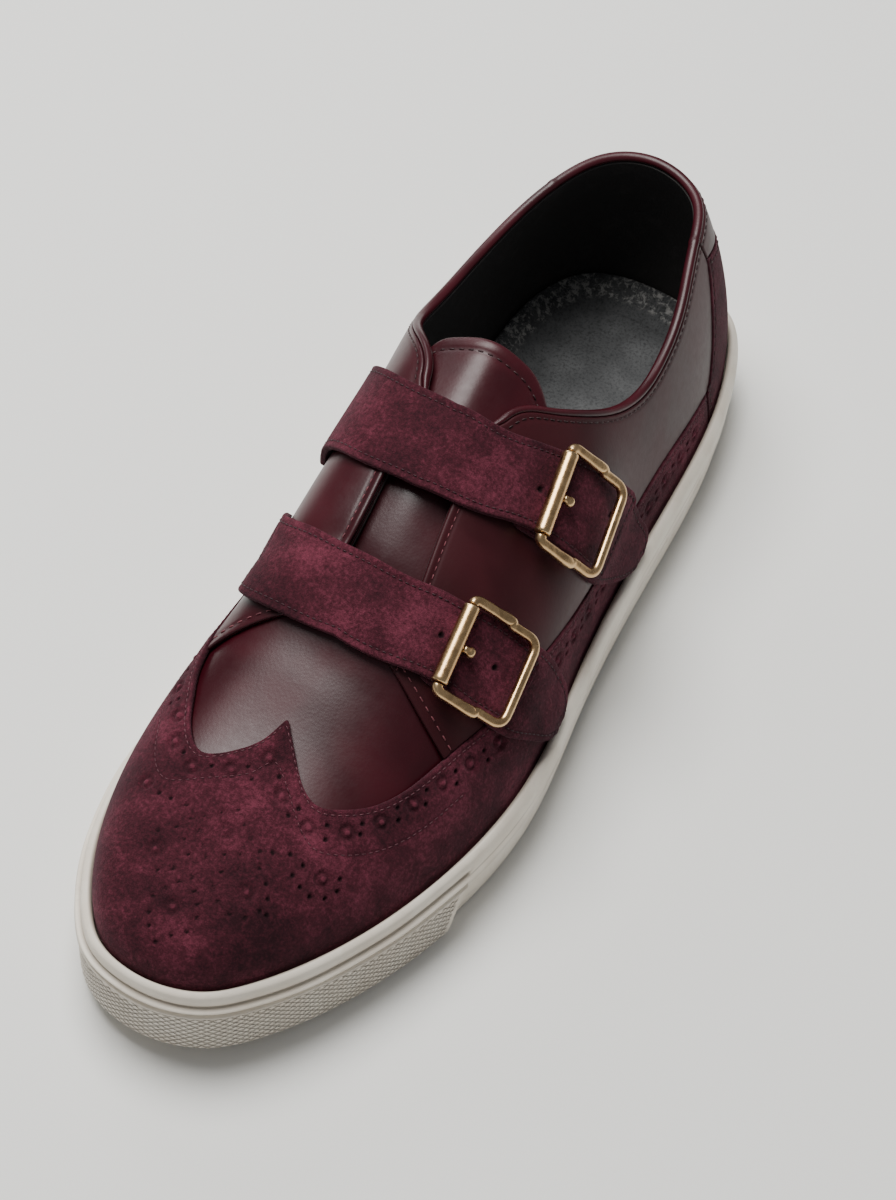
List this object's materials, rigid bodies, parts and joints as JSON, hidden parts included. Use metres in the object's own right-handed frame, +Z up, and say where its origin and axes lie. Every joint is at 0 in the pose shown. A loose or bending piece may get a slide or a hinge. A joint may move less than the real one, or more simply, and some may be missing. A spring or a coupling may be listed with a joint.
{
  "type": "monk strap shoe",
  "caption": "Low wingtip monk strap shoe in plum leather and suede, with buckled straps and a pale rubber cup sole; left foot.",
  "frame": {"origin": "on the floor under the middle of the heel seat, on the flat of the heel", "axes": "+Y towards the heel, so the toe points to -Y; +X to the lateral side of this left shoe; +Z up"},
  "size_m": [0.1036, 0.3011, 0.0978],
  "materials": {
    "sole_rubber": "matt off-white rubber, lightly soiled",
    "lining": "black lining and dark grey footbed",
    "plum_leather": "smooth plum leather, soft sheen",
    "plum_suede": "plum suede with a short nap",
    "antique_brass": "satin antique brass, bright on the edges"
  },
  "bodies": {
    "root": {"cupsole": "sole_rubber", "insole": "lining", "upper": "plum_leather", "tongue": "plum_leather", "wingtip": "plum_suede", "quarter_lateral": "plum_leather", "quarter_medial": "plum_leather", "back_tab": "plum_leather", "heel_counter": "plum_suede", "collar_binding": "plum_leather", "strap_upper": "plum_suede", "strap_lower": "plum_suede", "chape_upper": "plum_suede", "chape_lower": "plum_suede", "buckle_roller_upper": "antique_brass", "buckle_roller_lower": "antique_brass", "buckle_frame_upper": "antique_brass", "buckle_frame_lower": "antique_brass", "buckle_prong_upper": "antique_brass", "buckle_prong_lower": "antique_brass"}
  },
  "joints": []
}
